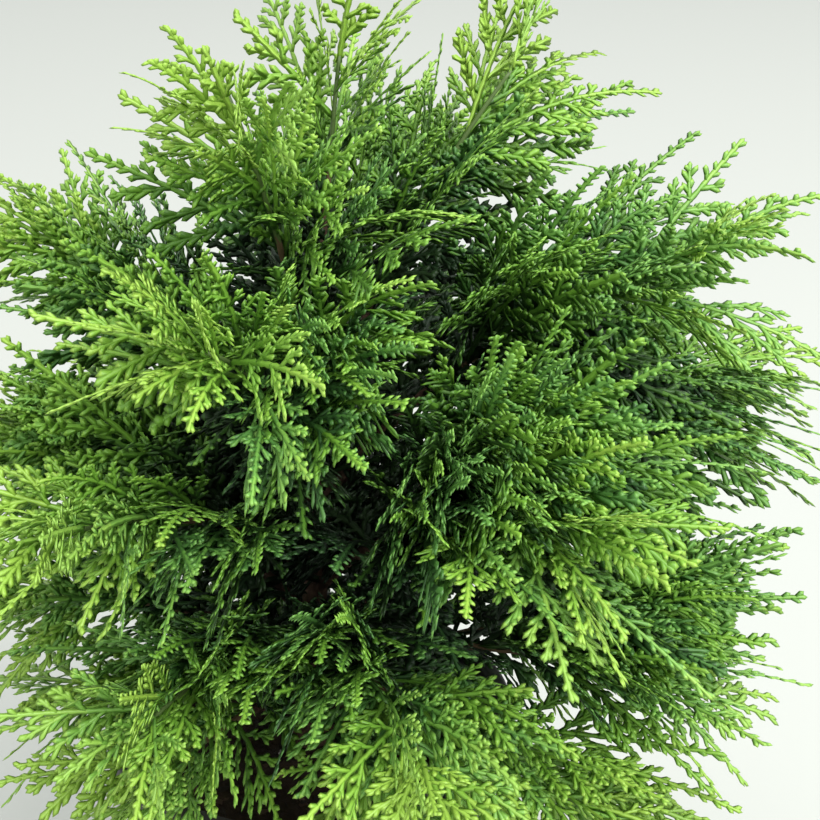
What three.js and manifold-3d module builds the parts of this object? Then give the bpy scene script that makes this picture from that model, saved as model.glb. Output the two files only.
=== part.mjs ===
// A dwarf globe cypress in a plain grower's pot: the pot, its compost, the trunk, the boughs that leave it
// in tiers, and a mass of flat sprays at the end of each bough. Millimetres, +Z up, the origin at the
// middle of the pot's flat underside, with -Y as the front.
import * as THREE from "three";
import { mergeVertices } from "three/addons/utils/BufferGeometryUtils.js";
import Module from "manifold-3d";

const wasm = await Module();
wasm.setup();
const { clamp, degToRad, lerp } = THREE.MathUtils;
const UP = new THREE.Vector3(0, 0, 1);

// Driving dimensions

const GAP = 0.3; // between pieces that touch
const SMOOTHING = [0.1, 0.05, 0.15, 0.02]; // the fused masses keep no edge much shorter than this
const NEAREST = 0.001; // no two corners of a fused mass are closer
const SEEDS = { limb: 1000, sprays: 77, leader: 5 };

const POT = {
  height: 112,
  topRadius: 57,
  baseRadius: 43,
  wall: 2.4,
  floor: 3,
  lipReach: 3,
  lipHeight: 12,
  lipEdge: 1,
  sides: 24,
  drains: 4,
  drainRadius: 4,
  drainCircle: 31,
  drainSides: 8,
};
const COMPOST = { top: 101, shoulder: 2, flatShare: 0.6 }; // filled to a little below the rim

const TRUNK = {
  height: 122,
  sunk: 2, // cut off flat again where it stands on the compost
  footRadius: 4.6,
  tipRadius: 1.8,
  flare: 3.6,
  flareHeight: 7,
  rise: [87, 89],
  sides: 8,
  steps: 8,
  bunching: 1.5, // its rings stand closer together towards the flare
};

// The crown's outline: a dome over a fuller skirt, wider to the right of the trunk than to the left
const CROWN = {
  centre: new THREE.Vector3(25, 0, 207),
  radius: new THREE.Vector3(128, 114, 120),
  domePower: 2.4,
  skirtPower: 3.2,
};

// The tiers of boughs, from the lowest up: how many, the bearing of the first, the height of the lowest foot
// above the compost, how far the feet are spread above it, and the slope of the limbs at the trunk and at
// NOMINAL_REACH from it. The boughs of a direct tier are all foliage, from the trunk out.
const NOMINAL_REACH = 150;
const TIERS = {
  low: { count: 8, first: -80, foot: 10, spread: 10, rise: [30, -52] },
  middle: { count: 7, first: -24, foot: 28, spread: 14, rise: [32, -32] },
  high: { count: 6, first: -58, foot: 52, spread: 14, rise: [46, -4] },
  upper: { count: 4, first: 0, foot: 78, spread: 12, rise: [62, 16] },
  top: { count: 3, first: 26, foot: 100, spread: 10, rise: [76, 48], direct: true },
};
const LEADER = { bearing: 20, rise: [86, 80] };
const LIMB_STEP = 5;
const VARY = { bearing: 0.3, sway: 24, rise: 10, reach: [0.97, 1.07] };

const BOUGH = { rootRadius: 2.1, tipRadius: 1.5, sides: 4, steps: 2, share: 0.25 };
const STEM = { rootRadius: 1.9, tipRadius: 1.1, sides: 3, steps: 5, share: 0.76 };

// Widths, depths and thickness are shares of the spray's length, angles are degrees.
const SPRAY = {
  count: 9, // along each stem, and one more at its end
  placeVary: 0.4, // of the pitch between two sprays
  lastSunk: 1, // the root of the one at the end lies this far inside the stem
  rootLength: 62,
  tipLength: 44,
  lengthVary: [0.9, 1.15],
  turn: [62, 36], // away from the stem, at the stem's root and at its end
  turnVary: 12,
  lifts: [0, 30, -30, 65, -65], // above the limb's own plane
  liftVary: 20,
  facesUp: 0.6,
  facesOut: 0.7,
  stray: 0.7,
  droop: 0.1,
  teeth: 3,
  endShare: 0.4, // of a tooth's pitch, from the last tooth to the blade's end
  stalk: 0.06,
  overlap: 1.2,
  width: 0.36,
  narrowing: 0.72,
  bulge: 1.4,
  notch: 0.5,
  rootWidth: 0.014,
  thickness: 0.013,
};

// Where a spray may grow: past the outline only by a little, this far from the pot, the trunk and the next
// spray, and nearer to its own stem than to any other limb. Near its own root it is free.
const ROOM = {
  pastOutline: 0.03,
  pot: 8,
  potTop: 3,
  trunk: 1.2,
  ownStem: 0.8,
  apart: 7,
  root: 4,
  tries: [1, 0.9, 0.8, 0.7, 0.6, 0.5],
};

const FINISH = {
  pot: new THREE.MeshStandardMaterial({ color: 0x2b2c2d, roughness: 0.6, metalness: 0 }),
  compost: new THREE.MeshStandardMaterial({ color: 0x2a1d14, roughness: 1, metalness: 0 }),
  bark: new THREE.MeshStandardMaterial({ color: 0x5a3d2a, roughness: 0.9, metalness: 0 }),
  foliage: new THREE.MeshStandardMaterial({ color: 0x4c8a2a, roughness: 0.55, metalness: 0 }),
};

// A seeded run of numbers from 0 to 1. The first few are close together for close seeds, so they are passed.
function seeded(seed) {
  const [factor, step, passed] = [1664525, 1013904223, 3];
  let state = seed >>> 0;
  const next = () => {
    state = (Math.imul(state, factor) + step) >>> 0;
    return state / 2 ** 32;
  };
  for (let i = 0; i < passed; i++) next();
  return next;
}

const within = (range, share) => lerp(range[0], range[1], share);
const aside = (random) => random() - 0.5;

// Solids

function solidOf(geometry) {
  geometry.deleteAttribute("normal");
  geometry.deleteAttribute("uv");
  const merged = mergeVertices(geometry);
  const vertProperties = new Float32Array(merged.attributes.position.array);
  const triVerts = new Uint32Array(merged.index.array);
  return new wasm.Manifold(new wasm.Mesh({ numProp: 3, vertProperties, triVerts }));
}

function geometryOf(solid) {
  const mesh = solid.getMesh();
  return new THREE.BufferGeometry()
    .setAttribute("position", new THREE.BufferAttribute(mesh.vertProperties, 3))
    .setIndex(new THREE.BufferAttribute(mesh.triVerts, 1));
}

// The largest body of a solid, without its scraps and sealed hollows
function mainBody(solid) {
  return solid.decompose().sort((a, b) => b.volume() - a.volume())[0];
}

function cornersApart(solid) {
  const { numVert, numProp, vertProperties } = solid.getMesh();
  const corners = Array.from({ length: numVert }, (_, i) =>
    new THREE.Vector3().fromArray(vertProperties, i * numProp),
  );
  const apartFrom = (corner) => (other) => corner.distanceTo(other) > NEAREST;
  return corners.every((corner, i) => corners.slice(0, i).every(apartFrom(corner)));
}

function turnedSolid(profile, sides) {
  const points = profile.map(([radius, z]) => new THREE.Vector2(radius, z));
  return solidOf(new THREE.LatheGeometry(points, sides).rotateX(Math.PI / 2));
}

// The pot, with its lip and its drain holes, and the compost in it

const potWallTop = POT.height - POT.lipHeight;
const lipRadius = POT.topRadius + POT.lipReach;

function potSolid() {
  const bore = POT.topRadius - POT.wall;
  const profile = [
    [0, 0],
    [POT.baseRadius, 0],
    [POT.topRadius, potWallTop],
    [lipRadius, potWallTop],
    [lipRadius, POT.height - POT.lipEdge],
    [lipRadius - POT.lipEdge, POT.height],
    [bore, POT.height],
    [bore, potWallTop],
    [POT.baseRadius - POT.wall, POT.floor],
    [0, POT.floor],
  ];
  const drains = Array.from({ length: POT.drains }, (_, i) => drainSolid((i + 0.5) / POT.drains));
  return wasm.Manifold.difference([turnedSolid(profile, POT.sides), ...drains]);
}

function drainSolid(share) {
  const bearing = share * 2 * Math.PI;
  const height = 4 * POT.floor;
  return solidOf(
    new THREE.CylinderGeometry(POT.drainRadius, POT.drainRadius, height, POT.drainSides)
      .rotateX(Math.PI / 2)
      .translate(Math.cos(bearing) * POT.drainCircle, Math.sin(bearing) * POT.drainCircle, 0),
  );
}

function compostSolid() {
  const base = POT.floor + GAP;
  const shoulder = COMPOST.top - COMPOST.shoulder;
  const flare = (POT.topRadius - POT.baseRadius) / (potWallTop - POT.floor);
  const radiusAt = (z) => POT.baseRadius - POT.wall - 2 * GAP + flare * (z - POT.floor);
  const profile = [
    [0, base],
    [radiusAt(base), base],
    [radiusAt(shoulder), shoulder],
    [radiusAt(shoulder) * COMPOST.flatShare, COMPOST.top],
    [0, COMPOST.top],
  ];
  return turnedSolid(profile, POT.sides);
}

// Limbs: each is a path of points LIMB_STEP apart whose bearing and slope change evenly along it

// The limb's own directions at a distance along it
function heading(limb, distance) {
  const share = distance / NOMINAL_REACH;
  const bearing = degToRad(limb.bearing + limb.sway * share);
  const slope = degToRad(within(limb.rise, share));
  const across = new THREE.Vector3(-Math.sin(bearing), Math.cos(bearing), 0);
  const along = new THREE.Vector3(Math.cos(bearing), Math.sin(bearing), 0)
    .multiplyScalar(Math.cos(slope))
    .addScaledVector(UP, Math.sin(slope));
  return { along, across, above: along.clone().cross(across) };
}

function pointAt(limb, distance) {
  const place = clamp(distance / LIMB_STEP, 0, limb.points.length - 1);
  const index = Math.min(Math.floor(place), limb.points.length - 2);
  return limb.points[index].clone().lerp(limb.points[index + 1], place - index);
}

// Adds steps to a limb for as long as keepOn(end, length) holds
function grow(limb, foot, keepOn) {
  limb.points = [foot];
  limb.length = 0;
  while (keepOn(limb.points.at(-1), limb.length)) {
    const { along } = heading(limb, limb.length + LIMB_STEP / 2);
    limb.points.push(limb.points.at(-1).clone().addScaledVector(along, LIMB_STEP));
    limb.length += LIMB_STEP;
  }
}

// 1 on the crown's outline, less inside it
function outlineAt(point) {
  const { x, y, z } = point.clone().sub(CROWN.centre).divide(CROWN.radius);
  const power = z < 0 ? CROWN.skirtPower : CROWN.domePower;
  return (Math.hypot(x, y) ** power + Math.abs(z) ** power) ** (1 / power);
}

function distanceTo(limb, point, from = 0) {
  const points = limb.points.slice(Math.floor(from / LIMB_STEP));
  return Math.min(...points.map((each) => each.distanceTo(point)));
}

// Bends a geometry that stands 1 high on +Y along a limb, from one distance to another
function layOn(geometry, limb, from, to) {
  const position = geometry.attributes.position;
  for (let i = 0; i < position.count; i++) {
    const distance = lerp(from, to, position.getY(i));
    const { across, above } = heading(limb, distance);
    const point = pointAt(limb, distance)
      .addScaledVector(across, position.getX(i))
      .addScaledVector(above, -position.getZ(i));
    position.setXYZ(i, ...point);
  }
  return solidOf(geometry);
}

function taperSolid(limb, { rootRadius, tipRadius, sides, steps }, from, to) {
  const standing = new THREE.CylinderGeometry(tipRadius, rootRadius, 1, sides, steps);
  return layOn(standing.translate(0, 0.5, 0), limb, from, to);
}

// The trunk, or with grown the room that the pieces round it are cut clear of

function trunkSolid(trunk, grown = 0) {
  const profile = [new THREE.Vector2(0, 0)];
  for (let i = 0; i <= TRUNK.steps; i++) {
    const share = (i / TRUNK.steps) ** TRUNK.bunching;
    const flare = TRUNK.flare * Math.exp((-share * TRUNK.height) / TRUNK.flareHeight);
    const radius = lerp(TRUNK.footRadius, TRUNK.tipRadius, share) + flare + grown;
    profile.push(new THREE.Vector2(radius, share));
  }
  profile.push(new THREE.Vector2(0, 1));
  const standing = new THREE.LatheGeometry(profile, TRUNK.sides);
  const leaning = layOn(standing, trunk, -grown, trunk.length + grown);
  return leaning.trimByPlane(UP.toArray(), COMPOST.top + GAP);
}

// A spray is a toothed blade that is thick at its rib, sharp at its edge, and droops towards its tip.

const TOOTH_PITCH = (1 - SPRAY.stalk) / (SPRAY.teeth + SPRAY.endShare);
const PER_TOOTH = 6;

// The corners of one tooth each side of the rib as [along, across, out of the plane]: the rib's two sides,
// the two notches at the tooth's foot and the two tips
function toothCorners(i) {
  const foot = i === 0 ? 0 : SPRAY.stalk + i * TOOTH_PITCH;
  const tip = SPRAY.stalk + (i + SPRAY.overlap) * TOOTH_PITCH;
  const reach = SPRAY.width * (1 - SPRAY.narrowing * (i / (SPRAY.teeth - 1)) ** SPRAY.bulge);
  const notch = i === 0 ? SPRAY.rootWidth : reach * SPRAY.notch;
  const rib = SPRAY.thickness * (1 - foot);
  return [
    [foot, 0, rib],
    [foot, 0, -rib],
    [foot, notch, 0],
    [foot, -notch, 0],
    [tip, reach, 0],
    [tip, -reach, 0],
  ];
}

// The faces on one side of the rib and one side of the plane. The blade's end is the last corner.
function toothFaces(i, rib, notch, tip) {
  const here = PER_TOOTH * i;
  const next = here + PER_TOOTH;
  const outer = [here + rib, here + tip, here + notch];
  if (i === SPRAY.teeth - 1) return [outer, [here + rib, next, here + tip]];
  return [outer, [here + rib, next + rib, next + notch], [here + rib, next + notch, here + tip]];
}

function bladeFaces() {
  const turned = ([p, q, r]) => [p, r, q];
  const rootFaces = [
    [0, 2, 1],
    [0, 1, 3],
  ];
  const teeth = Array.from({ length: SPRAY.teeth }, (_, i) => [
    ...toothFaces(i, 0, 2, 4),
    ...toothFaces(i, 1, 3, 5),
    ...toothFaces(i, 1, 2, 4).map(turned),
    ...toothFaces(i, 0, 3, 5).map(turned),
  ]);
  return [...rootFaces, ...teeth.flat()];
}

const BLADE_CORNERS = Array.from({ length: SPRAY.teeth }, (_, i) => toothCorners(i)).flat();
BLADE_CORNERS.push([1, 0, 0]);
const BLADE_FACES = bladeFaces();

function bladePoints({ root, along, across, length }) {
  const out = along.clone().cross(across);
  return BLADE_CORNERS.map(([x, y, z]) =>
    root
      .clone()
      .addScaledVector(along, x * length)
      .addScaledVector(across, y * length)
      .addScaledVector(out, z * length)
      .addScaledVector(UP, -SPRAY.droop * length * x * x),
  );
}

function bladeSolid(spray) {
  return solidOf(new THREE.BufferGeometry().setFromPoints(bladePoints(spray)).setIndex(BLADE_FACES.flat()));
}

function distanceToRib(point, { root, along, length }) {
  const out = point.clone().sub(root);
  return out.addScaledVector(along, -clamp(out.dot(along), 0, length)).length();
}

function hasRoom(point, spray, own, limbs, sprays) {
  const { x, y, z } = point;
  if (outlineAt(point) > own.reach + ROOM.pastOutline) return false;
  if (Math.hypot(x, y) < POT.topRadius + ROOM.pot && z < POT.height + ROOM.potTop) return false;
  if (point.distanceTo(spray.root) < ROOM.root) return true;
  if (distanceTo(trunk, point) < TRUNK.footRadius + ROOM.trunk) return false;
  const home = distanceTo(own, point, own.bare) + ROOM.ownStem;
  if (limbs.some((other) => other !== own && distanceTo(other, point) < home)) return false;
  return sprays.every((other) => distanceToRib(point, other) > ROOM.apart);
}

// The flat of a spray looks up and out of the crown, as far as its own direction allows.
function acrossOf(root, along, stray) {
  const outward = root.clone().sub(CROWN.centre).setZ(0).normalize();
  return outward
    .multiplyScalar(SPRAY.facesOut)
    .addScaledVector(UP, SPRAY.facesUp)
    .addScaledVector(stray, SPRAY.stray)
    .cross(along)
    .normalize();
}

function sprayAt(own, { distance, side, turn, stray }, lift) {
  const { along, across, above } = heading(own, distance);
  const outward = across.multiplyScalar(side * Math.cos(lift)).addScaledVector(above, Math.sin(lift));
  const way = along.multiplyScalar(Math.cos(turn)).addScaledVector(outward, Math.sin(turn));
  const root = pointAt(own, distance);
  return { root, along: way, across: acrossOf(root, way, stray) };
}

// The place of each spray on the stem, to both sides in turn, and of the one at the stem's end
function sprayPlaces(own, random) {
  const end = own.length * STEM.share;
  const strayOf = () => new THREE.Vector3(aside(random), aside(random), aside(random));
  const places = Array.from({ length: SPRAY.count }, (_, i) => {
    const share = (i + 0.5 + SPRAY.placeVary * aside(random)) / SPRAY.count;
    return {
      distance: lerp(own.bare + ROOM.root, end - ROOM.root, share),
      side: (i % 2 ? 1 : -1) * own.firstSide,
      turn: degToRad(within(SPRAY.turn, share) + SPRAY.turnVary * aside(random)),
      full: lerp(SPRAY.rootLength, SPRAY.tipLength, share) * within(SPRAY.lengthVary, random()),
      stray: strayOf(),
      lifts: SPRAY.lifts.map((lift) => lift + SPRAY.liftVary * aside(random)),
    };
  });
  const last = { distance: end - SPRAY.lastSunk, side: 1, turn: 0, full: own.length - end };
  return [...places, { ...last, stray: strayOf(), lifts: [0] }];
}

// Each spray takes the lift that lets it grow longest, and one that finds no room is left out.
function spraysOf(own, limbs) {
  const sprays = [];
  const fits = (spray) => bladePoints(spray).every((point) => hasRoom(point, spray, own, limbs, sprays));
  for (const place of sprayPlaces(own, seeded(own.seed))) {
    const ways = place.lifts.map((lift) => sprayAt(own, place, degToRad(lift)));
    const lengths = ROOM.tries.map((share) => place.full * share);
    const longest = lengths.flatMap((length) => ways.map((way) => ({ ...way, length }))).find(fits);
    if (longest) sprays.push(longest);
  }
  return sprays;
}

// The limbs of the whole plant

const trunk = { bearing: 0, sway: 0, rise: TRUNK.rise };
grow(trunk, new THREE.Vector3(0, 0, COMPOST.top - TRUNK.sunk), (end, length) => length < TRUNK.height);

function limbOf(tierName, tier, i, order) {
  const random = seeded(SEEDS.limb * (order + 1));
  const limb = {
    name: `${tierName}_${i + 1}`,
    direct: tier.direct,
    seed: SEEDS.sprays * (order + 3),
    bearing: tier.first + ((i + VARY.bearing * aside(random)) * 360) / tier.count,
    sway: VARY.sway * aside(random),
    rise: tier.rise.map((slope) => slope + VARY.rise * aside(random)),
    reach: within(VARY.reach, random()),
    firstSide: random() < 0.5 ? 1 : -1,
  };
  const foot = pointAt(trunk, tier.foot + (tier.spread * ((2 * i) % tier.count)) / tier.count);
  grow(limb, foot, (end) => outlineAt(end) < limb.reach);
  limb.bare = limb.direct ? 0 : limb.length * BOUGH.share;
  return limb;
}

function leaderLimb() {
  const plain = { direct: true, seed: SEEDS.leader, sway: 0, reach: 1, firstSide: 1, bare: 0 };
  const limb = { ...LEADER, ...plain, name: "leader" };
  grow(limb, trunk.points.at(-1).clone(), (end) => outlineAt(end) < limb.reach);
  return limb;
}

const limbs = [];
for (const [tierName, tier] of Object.entries(TIERS))
  for (let i = 0; i < tier.count; i++) limbs.push(limbOf(tierName, tier, i, limbs.length));
limbs.push(leaderLimb());

// Assembly

const plant = new THREE.Group();
const trunkRoom = trunkSolid(trunk, GAP);

function add(name, solid, finish) {
  const mesh = new THREE.Mesh(geometryOf(solid), finish);
  mesh.name = name;
  plant.add(mesh);
}

function boughSolid(limb) {
  return mainBody(taperSolid(limb, BOUGH, 0, limb.bare - GAP).subtract(trunkRoom));
}

// The stem and its sprays fused, smoothed by the first amount that leaves no corners nearly meeting. Where
// none does, the mass goes without its last spray.
function fusedMass(stem, blades) {
  const fused = mainBody(wasm.Manifold.union([stem, ...blades]).subtract(trunkRoom));
  const smooth = SMOOTHING.map((amount) => mainBody(fused.simplify(amount))).find(cornersApart);
  return smooth ?? fusedMass(stem, blades.slice(0, -1));
}

function massSolid(limb) {
  const stem = taperSolid(limb, STEM, limb.bare, limb.length * STEM.share);
  return fusedMass(stem, spraysOf(limb, limbs).map(bladeSolid));
}

add("pot", potSolid(), FINISH.pot);
add("compost", compostSolid(), FINISH.compost);
add("trunk", trunkSolid(trunk), FINISH.bark);
for (const limb of limbs) {
  if (!limb.direct) add(`bough_${limb.name}`, boughSolid(limb), FINISH.bark);
  add(`mass_${limb.name}`, massSolid(limb), FINISH.foliage);
}

export default plant;
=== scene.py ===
import math

import bmesh
import bpy
import numpy as np
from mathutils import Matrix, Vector


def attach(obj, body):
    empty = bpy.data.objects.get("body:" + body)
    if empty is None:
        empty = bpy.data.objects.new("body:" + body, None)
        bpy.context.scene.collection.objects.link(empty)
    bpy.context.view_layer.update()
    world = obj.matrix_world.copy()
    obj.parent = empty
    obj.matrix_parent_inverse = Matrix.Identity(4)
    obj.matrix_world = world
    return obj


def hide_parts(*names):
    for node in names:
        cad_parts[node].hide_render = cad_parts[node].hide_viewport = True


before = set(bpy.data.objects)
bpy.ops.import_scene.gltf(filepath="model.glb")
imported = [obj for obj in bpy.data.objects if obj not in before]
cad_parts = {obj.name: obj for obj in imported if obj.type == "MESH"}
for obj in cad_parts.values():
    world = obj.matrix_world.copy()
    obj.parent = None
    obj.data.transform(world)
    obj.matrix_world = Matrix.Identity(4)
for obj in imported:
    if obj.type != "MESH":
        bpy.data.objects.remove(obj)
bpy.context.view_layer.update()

# The pot: a 12 cm grower's pot, moulded in one shot from black polypropylene. It narrows to its base, the rim
# is stepped out for a grip, and four drain holes are punched through the thin floor. It stands on the flat of
# its base and carries everything else.

MM = 0.001
POT_SIDES = 96
POT_HEIGHT, POT_SHOULDER, RIM_EDGE = 112, 100, 1
BASE_RADIUS, TOP_RADIUS, RIM_RADIUS = 43, 57, 60
WALL, POT_FLOOR = 2.4, 3
DRAINS, DRAIN_RADIUS, DRAIN_CIRCLE, DRAIN_SIDES = 4, 4, 31, 24
SOFT_EDGE, SOFT_EDGE_STEPS = 0.5, 2
SHARP_ANGLE, SMOOTH_ANGLE = math.radians(40), math.radians(35)
LEAST_UPRIGHT = 0.9  # the least rise of the normal of a face that looks up
BLACK, DUSTY_BLACK = (0.018, 0.019, 0.020), (0.065, 0.060, 0.052)


def deselect():
    bpy.ops.object.select_all(action="DESELECT")


def pick(piece):
    deselect()
    piece.select_set(True)
    bpy.context.view_layer.objects.active = piece


def settle(piece):
    """The piece's place goes into its mesh, as a CAD node's does."""
    pick(piece)
    bpy.ops.object.transform_apply(location=True, rotation=True, scale=True)


def apply_all(piece):
    pick(piece)
    for modifier in list(piece.modifiers):
        bpy.ops.object.modifier_apply(modifier=modifier.name)


def select_faces(piece, chosen):
    """In edit mode, selects the faces for which chosen(centre, normal) holds."""
    bpy.ops.mesh.select_mode(type="FACE")
    bpy.ops.mesh.select_all(action="DESELECT")
    shape = bmesh.from_edit_mesh(piece.data)
    for face in shape.faces:
        face.select_set(chosen(face.calc_center_median(), face.normal))
    bmesh.update_edit_mesh(piece.data)


def add_cone(name, sides, base_radius, top_radius, base, top):
    """A solid cone about Z from one height to another, left in edit mode with its top face selected."""
    deselect()
    bpy.ops.mesh.primitive_cone_add(
        vertices=sides,
        radius1=base_radius * MM,
        radius2=top_radius * MM,
        depth=(top - base) * MM,
        location=(0, 0, (top + base) / 2 * MM),
    )
    piece = bpy.context.object
    piece.name = name
    settle(piece)
    bpy.ops.object.mode_set(mode="EDIT")
    select_faces(piece, lambda centre, normal: normal.z > LEAST_UPRIGHT)
    return piece


def draw_rings(rings):
    """In edit mode, carries the selected face from ring to ring, each a radius and a place along Z."""
    for (radius, height), (next_radius, next_height) in zip(rings, rings[1:]):
        rise = (0, 0, (next_height - height) * MM)
        bpy.ops.mesh.extrude_region_move(TRANSFORM_OT_translate={"value": rise})
        grown = next_radius / radius
        bpy.ops.transform.resize(value=(grown, grown, 1), center_override=(0, 0, 0))


def set_stops(ramp, stops):
    while len(ramp.elements) < len(stops):
        ramp.elements.new(0.5)
    for element, (place, colour) in zip(ramp.elements, stops):
        element.position, element.color = place, (*colour, 1)


class Value:
    """A socket that takes part in sums, so that a pattern reads as an expression."""

    def __init__(self, tree, socket):
        self.tree, self.socket = tree, socket

    def make(self, kind, settings, values):
        """Any node, from its type, its settings and the values or links of its sockets, by name or number."""
        node = self.tree.nodes.new(kind)
        for name, setting in settings.items():
            if name == "stops":
                set_stops(node.color_ramp, setting)
            else:
                setattr(node, name, setting)
        for name, value in values.items():
            if isinstance(value, Value):
                self.tree.links.new(value.socket, node.inputs[name])
            else:
                node.inputs[name].default_value = value
        return Value(self.tree, node.outputs[0])

    def math(self, operation, other):
        return self.make("ShaderNodeMath", {"operation": operation}, {0: self, 1: other})

    def __add__(self, other):
        return self.math("ADD", other)

    __radd__ = __add__

    def __mul__(self, other):
        return self.math("MULTIPLY", other)

    __rmul__ = __mul__

    def stretched(self, *factors):
        return self.make("ShaderNodeVectorMath", {"operation": "MULTIPLY"}, {0: self, 1: factors})

    def noise(self, scale, detail=3, roughness=0.5):
        values = {"Vector": self, "Scale": scale, "Detail": detail, "Roughness": roughness}
        return self.make("ShaderNodeTexNoise", {}, values)

    def ramp(self, *stops):
        return self.make("ShaderNodeValToRGB", {"stops": stops}, {"Fac": self})

    def bump(self, strength, distance):
        return self.make("ShaderNodeBump", {}, {"Height": self, "Strength": strength, "Distance": distance})


def new_finish(name, values):
    """A material with its shader's plain values set, its shader, and the object's own coordinates."""
    finish = bpy.data.materials.new(name)
    finish.use_nodes = True
    tree = finish.node_tree
    shader = tree.nodes["Principled BSDF"]
    for socket, value in values.items():
        shader.inputs[socket].default_value = value
    places = Value(tree, tree.nodes.new("ShaderNodeTexCoord").outputs["Object"])
    return finish, shader, places


def feed(shader, links):
    for name, value in links.items():
        value.tree.links.new(value.socket, shader.inputs[name])


def black_plastic():
    finish, shader, places = new_finish("black_polypropylene", {"Specular IOR Level": 0.4})
    dust = places.noise(scale=18, detail=4).ramp((0.42, (0.0, 0.0, 0.0)), (0.75, (1.0, 1.0, 1.0)))
    mottle = places.noise(scale=160, detail=2)
    grain = places.noise(scale=1400, detail=2)
    colour = (dust * 0.5 + mottle * 0.3).ramp((0.1, BLACK), (0.9, DUSTY_BLACK))
    roughness = 0.42 + 0.25 * dust + 0.1 * mottle
    normal = (grain + 3 * mottle).bump(strength=0.25, distance=0.0003)
    feed(shader, {"Base Color": colour, "Roughness": roughness, "Normal": normal})
    return finish


def punch_drain(bearing):
    deselect()
    bpy.ops.mesh.primitive_cylinder_add(
        vertices=DRAIN_SIDES,
        radius=DRAIN_RADIUS * MM,
        depth=4 * POT_FLOOR * MM,
        location=(DRAIN_CIRCLE * MM * math.cos(bearing), DRAIN_CIRCLE * MM * math.sin(bearing), 0),
    )
    punch = bpy.context.object
    pick(pot)
    hole = pot.modifiers.new("drain", "BOOLEAN")
    hole.operation, hole.object, hole.solver = "DIFFERENCE", punch, "EXACT"
    bpy.ops.object.modifier_apply(modifier=hole.name)
    bpy.data.objects.remove(punch)


pot = add_cone("grower_pot", POT_SIDES, BASE_RADIUS, TOP_RADIUS, 0, POT_SHOULDER)
draw_rings(
    [
        (TOP_RADIUS, POT_SHOULDER),
        (RIM_RADIUS, POT_SHOULDER),
        (RIM_RADIUS, POT_HEIGHT - RIM_EDGE),
        (RIM_RADIUS - RIM_EDGE, POT_HEIGHT),
        (TOP_RADIUS - WALL + RIM_EDGE, POT_HEIGHT),
        (TOP_RADIUS - WALL, POT_HEIGHT - RIM_EDGE),
        (TOP_RADIUS - WALL, POT_SHOULDER),
        (BASE_RADIUS - WALL, POT_FLOOR),
    ]
)
bpy.ops.object.mode_set(mode="OBJECT")
for i in range(DRAINS):
    punch_drain((i + 0.5) / DRAINS * 2 * math.pi)
softened = pot.modifiers.new("softened edges", "BEVEL")
softened.width, softened.segments, softened.angle_limit = SOFT_EDGE * MM, SOFT_EDGE_STEPS, SHARP_ANGLE
apply_all(pot)
bpy.ops.object.shade_smooth_by_angle(angle=SMOOTH_ANGLE)
pot.data.materials.append(black_plastic())
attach(pot, "root")
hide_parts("pot")

# The compost: dark peat and composted bark, filled to a little below the rim and settled lower against the
# wall. Crumbs and chips of bark lie loose on it, with a few white grains of perlite.

COMPOST_TOP, COMPOST_SHOULDER, COMPOST_BASE = 101, 99, 3.3
COMPOST_RADIUS, COMPOST_BASE_RADIUS, COMPOST_SIDES = 53.6, 39.8, 72
TOP_RINGS, SLOPING_RINGS, TOP_CUTS = 14, 5, 3
CUT_ABOVE, ROUGH_ABOVE = 0.01, 0.2  # so far above the shoulder the top is cut finer, and so far it is rough
COMPOST_RELIEF = [("hollows", 14, 2, 3.5), ("crumbs", 3, 2, 1.8)]
WET_PEAT, PEAT, DRY_PEAT = (0.010, 0.007, 0.005), (0.035, 0.022, 0.014), (0.085, 0.055, 0.034)


def peat():
    finish, shader, places = new_finish("peat", {"Specular IOR Level": 0.25})
    lumps = places.noise(scale=90, detail=5, roughness=0.65)
    crumbs = places.noise(scale=600)
    colour = (lumps * 0.7 + crumbs * 0.4).ramp((0.3, WET_PEAT), (0.55, PEAT), (0.8, DRY_PEAT))
    normal = (lumps + crumbs).bump(strength=0.7, distance=0.0012)
    feed(shader, {"Base Color": colour, "Roughness": 0.8 + 0.15 * crumbs, "Normal": normal})
    return finish


def raise_relief(piece, relief, direction="NORMAL", group=""):
    """Cloudy lumps on a piece or on a group of its corners: each a name, a size, a fineness and a height."""
    for name, size, fineness, height in relief:
        texture = bpy.data.textures.new(name, "CLOUDS")
        texture.noise_scale, texture.noise_depth = size * MM, fineness
        lumps = piece.modifiers.new(name, "DISPLACE")
        lumps.texture, lumps.texture_coords = texture, "LOCAL"
        lumps.strength, lumps.mid_level = height * MM, 0.5
        lumps.direction, lumps.vertex_group = direction, group


def compost_ring(i):
    """The radius and height of a ring of the top, which slopes up from its edge and is then flat."""
    slope = COMPOST_TOP - COMPOST_SHOULDER
    return COMPOST_RADIUS * (1 - i / TOP_RINGS), COMPOST_SHOULDER + slope * min(i / SLOPING_RINGS, 1)


compost = add_cone(
    "compost_fill", COMPOST_SIDES, COMPOST_BASE_RADIUS, COMPOST_RADIUS, COMPOST_BASE, COMPOST_SHOULDER
)
draw_rings([compost_ring(i) for i in range(TOP_RINGS)])
select_faces(compost, lambda centre, normal: centre.z > (COMPOST_SHOULDER + CUT_ABOVE) * MM)
bpy.ops.mesh.subdivide(number_cuts=TOP_CUTS)
bpy.ops.object.mode_set(mode="OBJECT")
rough_from = (COMPOST_SHOULDER + ROUGH_ABOVE) * MM
surface = compost.vertex_groups.new(name="surface")
surface.add([corner.index for corner in compost.data.vertices if corner.co.z > rough_from], 1, "REPLACE")
raise_relief(compost, COMPOST_RELIEF, "Z", "surface")
apply_all(compost)
bpy.ops.object.shade_smooth()
compost.data.materials.append(peat())
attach(compost, "root")
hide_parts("compost")

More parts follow.
